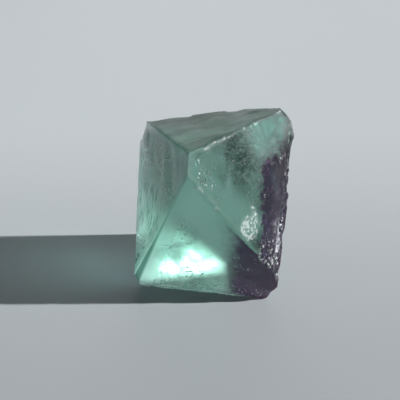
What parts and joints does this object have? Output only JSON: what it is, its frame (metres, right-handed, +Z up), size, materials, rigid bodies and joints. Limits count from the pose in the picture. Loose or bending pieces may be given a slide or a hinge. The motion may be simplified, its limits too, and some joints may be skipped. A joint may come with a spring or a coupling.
{
  "type": "fluorite octahedron",
  "caption": "Cleaved octahedral fluorite crystal, clear green with a purple band, standing on one of its flat cleavage faces.",
  "frame": {"origin": "on the surface that the crystal stands on, under the middle of its bounding box", "axes": "+Z up, away from the resting face; -Y towards the large lower front face; +X towards the broken purple edge"},
  "size_m": [0.0278, 0.0294, 0.0305],
  "materials": {
    "fluorite": "clear green with cloudy and splintered patches and a purple band"
  },
  "bodies": {
    "root": {"fluorite_crystal": "fluorite"}
  },
  "joints": []
}
